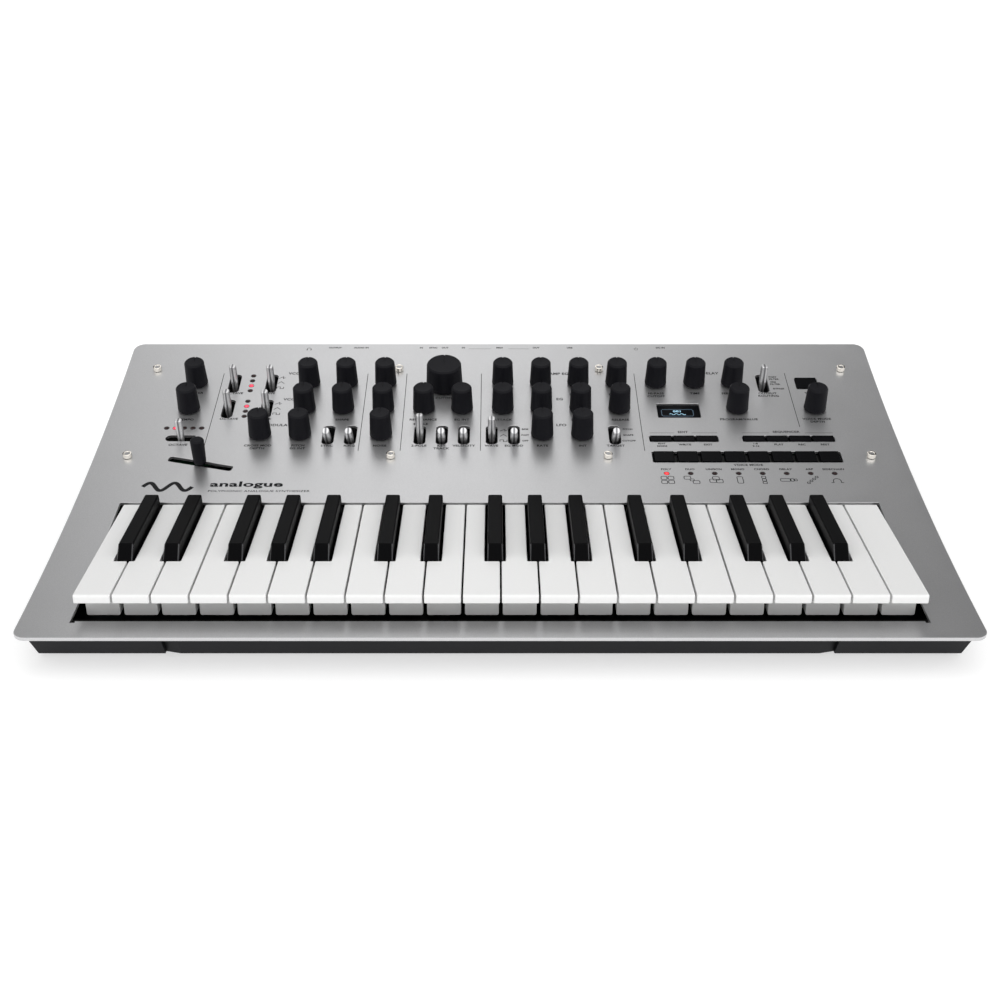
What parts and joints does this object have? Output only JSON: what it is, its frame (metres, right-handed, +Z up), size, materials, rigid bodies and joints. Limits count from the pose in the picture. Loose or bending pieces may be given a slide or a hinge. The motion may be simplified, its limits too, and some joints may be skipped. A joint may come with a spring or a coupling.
{
  "type": "synthesizer keyboard",
  "caption": "Desktop analogue synthesizer with a slim keyboard below a curved silver panel of knobs, toggle switches, buttons and a small display.",
  "frame": {"origin": "centre of the instrument's footprint on the surface that it stands on", "axes": "+X to the player's right along the keyboard, +Y to the rear, +Z up"},
  "size_m": [0.5, 0.3006, 0.0848],
  "materials": {
    "aluminium": "fine bead-blasted silver anodised sheet",
    "charcoal_plastic": "fine-grained charcoal moulding",
    "hardwood": "oiled reddish-brown hardwood",
    "steel": "nickel-plated",
    "circuit_board": "green solder mask",
    "black_socket": "moulded socket black",
    "soft_black": "soft-touch matte black",
    "white_key": "satin white",
    "black_key": "satin black",
    "chrome": "polished",
    "display_glass": "dark window",
    "rubber": "matt",
    "key_frame_plastic": "dark grey moulding"
  },
  "bodies": {
    "chassis": {"top_panel": "aluminium", "lower_case": "charcoal_plastic", "rear_board": "hardwood", "jack_board": "black_socket", "key_frame": "key_frame_plastic", "panel_bracket": "steel", "control_board": "circuit_board", "display_module": "display_glass", "front_foot_strip": "rubber", "rear_foot_strip": "rubber"},
    "cutoff_knob": {"cutoff_knob": "soft_black"},
    "resonance_knob": {"resonance_knob": "soft_black"},
    "value_knob": {"value_knob": "soft_black"},
    "tempo_knob": {"tempo_knob": "soft_black"},
    "master_knob": {"master_knob": "soft_black"},
    "bend_lever": {"bend_lever": "soft_black"},
    "octave_toggle": {"octave_toggle": "chrome"},
    "filter_toggle": {"filter_toggle": "chrome"},
    "voice_mode_buttons": {"voice_mode_buttons": "soft_black"},
    "sequencer_buttons": {"sequencer_buttons": "soft_black"},
    "edit_buttons": {"edit_buttons": "soft_black"},
    "tap_button": {"tap_button": "soft_black"},
    "power_button": {"power_button": "soft_black"},
    "key_c3": {"key_c3": "white_key"},
    "key_cs3": {"key_cs3": "black_key"},
    "key_d3": {"key_d3": "white_key"},
    "key_ds3": {"key_ds3": "black_key"},
    "key_e3": {"key_e3": "white_key"},
    "key_f3": {"key_f3": "white_key"},
    "key_fs3": {"key_fs3": "black_key"},
    "key_g3": {"key_g3": "white_key"},
    "key_gs3": {"key_gs3": "black_key"},
    "key_a3": {"key_a3": "white_key"},
    "key_as3": {"key_as3": "black_key"},
    "key_b3": {"key_b3": "white_key"},
    "key_c4": {"key_c4": "white_key"},
    "key_cs4": {"key_cs4": "black_key"},
    "key_d4": {"key_d4": "white_key"},
    "key_ds4": {"key_ds4": "black_key"},
    "key_e4": {"key_e4": "white_key"},
    "key_f4": {"key_f4": "white_key"},
    "key_fs4": {"key_fs4": "black_key"},
    "key_g4": {"key_g4": "white_key"},
    "key_gs4": {"key_gs4": "black_key"},
    "key_a4": {"key_a4": "white_key"},
    "key_as4": {"key_as4": "black_key"},
    "key_b4": {"key_b4": "white_key"},
    "key_c5": {"key_c5": "white_key"},
    "key_cs5": {"key_cs5": "black_key"},
    "key_d5": {"key_d5": "white_key"},
    "key_ds5": {"key_ds5": "black_key"},
    "key_e5": {"key_e5": "white_key"},
    "key_f5": {"key_f5": "white_key"},
    "key_fs5": {"key_fs5": "black_key"},
    "key_g5": {"key_g5": "white_key"},
    "key_gs5": {"key_gs5": "black_key"},
    "key_a5": {"key_a5": "white_key"},
    "key_as5": {"key_as5": "black_key"},
    "key_b5": {"key_b5": "white_key"},
    "key_c6": {"key_c6": "white_key"}
  },
  "joints": [
    {"name": "cutoff_turn", "type": "hinge", "parent": "chassis", "child": "cutoff_knob", "pos_m": [-0.0361, 0.1032, 0.06515], "axis": [0, -0.2528, 0.9675], "range_deg": [-150, 150]},
    {"name": "resonance_turn", "type": "hinge", "parent": "chassis", "child": "resonance_knob", "pos_m": [-0.0486, 0.077, 0.05856], "axis": [0, -0.2351, 0.972], "range_deg": [-150, 150]},
    {"name": "value_turn", "type": "hinge", "parent": "chassis", "child": "value_knob", "pos_m": [0.1537, 0.077, 0.05856], "axis": [0, -0.2351, 0.972], "continuous": true},
    {"name": "tempo_turn", "type": "hinge", "parent": "chassis", "child": "tempo_knob", "pos_m": [-0.2004, 0.077, 0.05856], "axis": [0, -0.2351, 0.972], "range_deg": [-150, 150]},
    {"name": "master_turn", "type": "hinge", "parent": "chassis", "child": "master_knob", "pos_m": [-0.2, 0.1055, 0.06575], "axis": [0, -0.2543, 0.9671], "range_deg": [-150, 150]},
    {"name": "bend_slide", "type": "slide", "parent": "chassis", "child": "bend_lever", "axis": [0.9668, -0.2505, -0.05], "range_m": [-0.014, 0.014], "stiffness_N_per_m": 80},
    {"name": "octave_tilt", "type": "hinge", "parent": "chassis", "child": "octave_toggle", "pos_m": [-0.2, 0.04731, 0.04351], "axis": [0, 0.9769, 0.2139], "range_deg": [-18, 18]},
    {"name": "filter_tilt", "type": "hinge", "parent": "chassis", "child": "filter_toggle", "pos_m": [-0.0501, 0.05083, 0.04428], "axis": [1, 0, 0], "range_deg": [0, 32.6]},
    {"name": "voice_mode_press", "type": "slide", "parent": "chassis", "child": "voice_mode_buttons", "axis": [0, 0.2004, -0.9797], "range_m": [0, 0.0008], "stiffness_N_per_m": 900, "springref_m": -0.001},
    {"name": "sequencer_press", "type": "slide", "parent": "chassis", "child": "sequencer_buttons", "axis": [0, 0.2134, -0.977], "range_m": [0, 0.0008], "stiffness_N_per_m": 900, "springref_m": -0.001},
    {"name": "edit_press", "type": "slide", "parent": "chassis", "child": "edit_buttons", "axis": [0, 0.2134, -0.977], "range_m": [0, 0.0008], "stiffness_N_per_m": 900, "springref_m": -0.001},
    {"name": "tap_press", "type": "slide", "parent": "chassis", "child": "tap_button", "axis": [0, 0.2544, -0.9671], "range_m": [0, 0.0008], "stiffness_N_per_m": 900, "springref_m": -0.001},
    {"name": "power_press", "type": "slide", "parent": "chassis", "child": "power_button", "axis": [0, -1, 0], "range_m": [0, 0.0015], "stiffness_N_per_m": 900, "springref_m": -0.001},
    {"name": "key_c3_press", "type": "hinge", "parent": "chassis", "child": "key_c3", "pos_m": [-0.21079, 0.008, 0.03], "axis": [1, 0, 0], "range_deg": [0, 3.25], "stiffness_Nm_per_rad": 0.6, "springref_deg": -5.73},
    {"name": "key_cs3_press", "type": "hinge", "parent": "chassis", "child": "key_cs3", "pos_m": [-0.20303, 0.008, 0.03], "axis": [1, 0, 0], "range_deg": [0, 3.25], "stiffness_Nm_per_rad": 0.6, "springref_deg": -5.73},
    {"name": "key_d3_press", "type": "hinge", "parent": "chassis", "child": "key_d3", "pos_m": [-0.19067, 0.008, 0.03], "axis": [1, 0, 0], "range_deg": [0, 3.25], "stiffness_Nm_per_rad": 0.6, "springref_deg": -5.73},
    {"name": "key_ds3_press", "type": "hinge", "parent": "chassis", "child": "key_ds3", "pos_m": [-0.17802, 0.008, 0.03], "axis": [1, 0, 0], "range_deg": [0, 3.25], "stiffness_Nm_per_rad": 0.6, "springref_deg": -5.73},
    {"name": "key_e3_press", "type": "hinge", "parent": "chassis", "child": "key_e3", "pos_m": [-0.17056, 0.008, 0.03], "axis": [1, 0, 0], "range_deg": [0, 3.25], "stiffness_Nm_per_rad": 0.6, "springref_deg": -5.73},
    {"name": "key_f3_press", "type": "hinge", "parent": "chassis", "child": "key_f3", "pos_m": [-0.15044, 0.008, 0.03], "axis": [1, 0, 0], "range_deg": [0, 3.25], "stiffness_Nm_per_rad": 0.6, "springref_deg": -5.73},
    {"name": "key_fs3_press", "type": "hinge", "parent": "chassis", "child": "key_fs3", "pos_m": [-0.14339, 0.008, 0.03], "axis": [1, 0, 0], "range_deg": [0, 3.25], "stiffness_Nm_per_rad": 0.6, "springref_deg": -5.73},
    {"name": "key_g3_press", "type": "hinge", "parent": "chassis", "child": "key_g3", "pos_m": [-0.13033, 0.008, 0.03], "axis": [1, 0, 0], "range_deg": [0, 3.25], "stiffness_Nm_per_rad": 0.6, "springref_deg": -5.73},
    {"name": "key_gs3_press", "type": "hinge", "parent": "chassis", "child": "key_gs3", "pos_m": [-0.12027, 0.008, 0.03], "axis": [1, 0, 0], "range_deg": [0, 3.25], "stiffness_Nm_per_rad": 0.6, "springref_deg": -5.73},
    {"name": "key_a3_press", "type": "hinge", "parent": "chassis", "child": "key_a3", "pos_m": [-0.11021, 0.008, 0.03], "axis": [1, 0, 0], "range_deg": [0, 3.25], "stiffness_Nm_per_rad": 0.6, "springref_deg": -5.73},
    {"name": "key_as3_press", "type": "hinge", "parent": "chassis", "child": "key_as3", "pos_m": [-0.09666, 0.008, 0.03], "axis": [1, 0, 0], "range_deg": [0, 3.25], "stiffness_Nm_per_rad": 0.6, "springref_deg": -5.73},
    {"name": "key_b3_press", "type": "hinge", "parent": "chassis", "child": "key_b3", "pos_m": [-0.0901, 0.008, 0.03], "axis": [1, 0, 0], "range_deg": [0, 3.25], "stiffness_Nm_per_rad": 0.6, "springref_deg": -5.73},
    {"name": "key_c4_press", "type": "hinge", "parent": "chassis", "child": "key_c4", "pos_m": [-0.06998, 0.008, 0.03], "axis": [1, 0, 0], "range_deg": [0, 3.25], "stiffness_Nm_per_rad": 0.6, "springref_deg": -5.73},
    {"name": "key_cs4_press", "type": "hinge", "parent": "chassis", "child": "key_cs4", "pos_m": [-0.06223, 0.008, 0.03], "axis": [1, 0, 0], "range_deg": [0, 3.25], "stiffness_Nm_per_rad": 0.6, "springref_deg": -5.73},
    {"name": "key_d4_press", "type": "hinge", "parent": "chassis", "child": "key_d4", "pos_m": [-0.04987, 0.008, 0.03], "axis": [1, 0, 0], "range_deg": [0, 3.25], "stiffness_Nm_per_rad": 0.6, "springref_deg": -5.73},
    {"name": "key_ds4_press", "type": "hinge", "parent": "chassis", "child": "key_ds4", "pos_m": [-0.03721, 0.008, 0.03], "axis": [1, 0, 0], "range_deg": [0, 3.25], "stiffness_Nm_per_rad": 0.6, "springref_deg": -5.73},
    {"name": "key_e4_press", "type": "hinge", "parent": "chassis", "child": "key_e4", "pos_m": [-0.02975, 0.008, 0.03], "axis": [1, 0, 0], "range_deg": [0, 3.25], "stiffness_Nm_per_rad": 0.6, "springref_deg": -5.73},
    {"name": "key_f4_press", "type": "hinge", "parent": "chassis", "child": "key_f4", "pos_m": [-0.00964, 0.008, 0.03], "axis": [1, 0, 0], "range_deg": [0, 3.25], "stiffness_Nm_per_rad": 0.6, "springref_deg": -5.73},
    {"name": "key_fs4_press", "type": "hinge", "parent": "chassis", "child": "key_fs4", "pos_m": [-0.00258, 0.008, 0.03], "axis": [1, 0, 0], "range_deg": [0, 3.25], "stiffness_Nm_per_rad": 0.6, "springref_deg": -5.73},
    {"name": "key_g4_press", "type": "hinge", "parent": "chassis", "child": "key_g4", "pos_m": [0.01048, 0.008, 0.03], "axis": [1, 0, 0], "range_deg": [0, 3.25], "stiffness_Nm_per_rad": 0.6, "springref_deg": -5.73},
    {"name": "key_gs4_press", "type": "hinge", "parent": "chassis", "child": "key_gs4", "pos_m": [0.02054, 0.008, 0.03], "axis": [1, 0, 0], "range_deg": [0, 3.25], "stiffness_Nm_per_rad": 0.6, "springref_deg": -5.73},
    {"name": "key_a4_press", "type": "hinge", "parent": "chassis", "child": "key_a4", "pos_m": [0.03059, 0.008, 0.03], "axis": [1, 0, 0], "range_deg": [0, 3.25], "stiffness_Nm_per_rad": 0.6, "springref_deg": -5.73},
    {"name": "key_as4_press", "type": "hinge", "parent": "chassis", "child": "key_as4", "pos_m": [0.04415, 0.008, 0.03], "axis": [1, 0, 0], "range_deg": [0, 3.25], "stiffness_Nm_per_rad": 0.6, "springref_deg": -5.73},
    {"name": "key_b4_press", "type": "hinge", "parent": "chassis", "child": "key_b4", "pos_m": [0.05071, 0.008, 0.03], "axis": [1, 0, 0], "range_deg": [0, 3.25], "stiffness_Nm_per_rad": 0.6, "springref_deg": -5.73},
    {"name": "key_c5_press", "type": "hinge", "parent": "chassis", "child": "key_c5", "pos_m": [0.07082, 0.008, 0.03], "axis": [1, 0, 0], "range_deg": [0, 3.25], "stiffness_Nm_per_rad": 0.6, "springref_deg": -5.73},
    {"name": "key_cs5_press", "type": "hinge", "parent": "chassis", "child": "key_cs5", "pos_m": [0.07858, 0.008, 0.03], "axis": [1, 0, 0], "range_deg": [0, 3.25], "stiffness_Nm_per_rad": 0.6, "springref_deg": -5.73},
    {"name": "key_d5_press", "type": "hinge", "parent": "chassis", "child": "key_d5", "pos_m": [0.09094, 0.008, 0.03], "axis": [1, 0, 0], "range_deg": [0, 3.25], "stiffness_Nm_per_rad": 0.6, "springref_deg": -5.73},
    {"name": "key_ds5_press", "type": "hinge", "parent": "chassis", "child": "key_ds5", "pos_m": [0.1036, 0.008, 0.03], "axis": [1, 0, 0], "range_deg": [0, 3.25], "stiffness_Nm_per_rad": 0.6, "springref_deg": -5.73},
    {"name": "key_e5_press", "type": "hinge", "parent": "chassis", "child": "key_e5", "pos_m": [0.11105, 0.008, 0.03], "axis": [1, 0, 0], "range_deg": [0, 3.25], "stiffness_Nm_per_rad": 0.6, "springref_deg": -5.73},
    {"name": "key_f5_press", "type": "hinge", "parent": "chassis", "child": "key_f5", "pos_m": [0.13117, 0.008, 0.03], "axis": [1, 0, 0], "range_deg": [0, 3.25], "stiffness_Nm_per_rad": 0.6, "springref_deg": -5.73},
    {"name": "key_fs5_press", "type": "hinge", "parent": "chassis", "child": "key_fs5", "pos_m": [0.13822, 0.008, 0.03], "axis": [1, 0, 0], "range_deg": [0, 3.25], "stiffness_Nm_per_rad": 0.6, "springref_deg": -5.73},
    {"name": "key_g5_press", "type": "hinge", "parent": "chassis", "child": "key_g5", "pos_m": [0.15128, 0.008, 0.03], "axis": [1, 0, 0], "range_deg": [0, 3.25], "stiffness_Nm_per_rad": 0.6, "springref_deg": -5.73},
    {"name": "key_gs5_press", "type": "hinge", "parent": "chassis", "child": "key_gs5", "pos_m": [0.16134, 0.008, 0.03], "axis": [1, 0, 0], "range_deg": [0, 3.25], "stiffness_Nm_per_rad": 0.6, "springref_deg": -5.73},
    {"name": "key_a5_press", "type": "hinge", "parent": "chassis", "child": "key_a5", "pos_m": [0.1714, 0.008, 0.03], "axis": [1, 0, 0], "range_deg": [0, 3.25], "stiffness_Nm_per_rad": 0.6, "springref_deg": -5.73},
    {"name": "key_as5_press", "type": "hinge", "parent": "chassis", "child": "key_as5", "pos_m": [0.18496, 0.008, 0.03], "axis": [1, 0, 0], "range_deg": [0, 3.25], "stiffness_Nm_per_rad": 0.6, "springref_deg": -5.73},
    {"name": "key_b5_press", "type": "hinge", "parent": "chassis", "child": "key_b5", "pos_m": [0.19151, 0.008, 0.03], "axis": [1, 0, 0], "range_deg": [0, 3.25], "stiffness_Nm_per_rad": 0.6, "springref_deg": -5.73},
    {"name": "key_c6_press", "type": "hinge", "parent": "chassis", "child": "key_c6", "pos_m": [0.21163, 0.008, 0.03], "axis": [1, 0, 0], "range_deg": [0, 3.25], "stiffness_Nm_per_rad": 0.6, "springref_deg": -5.73}
  ]
}
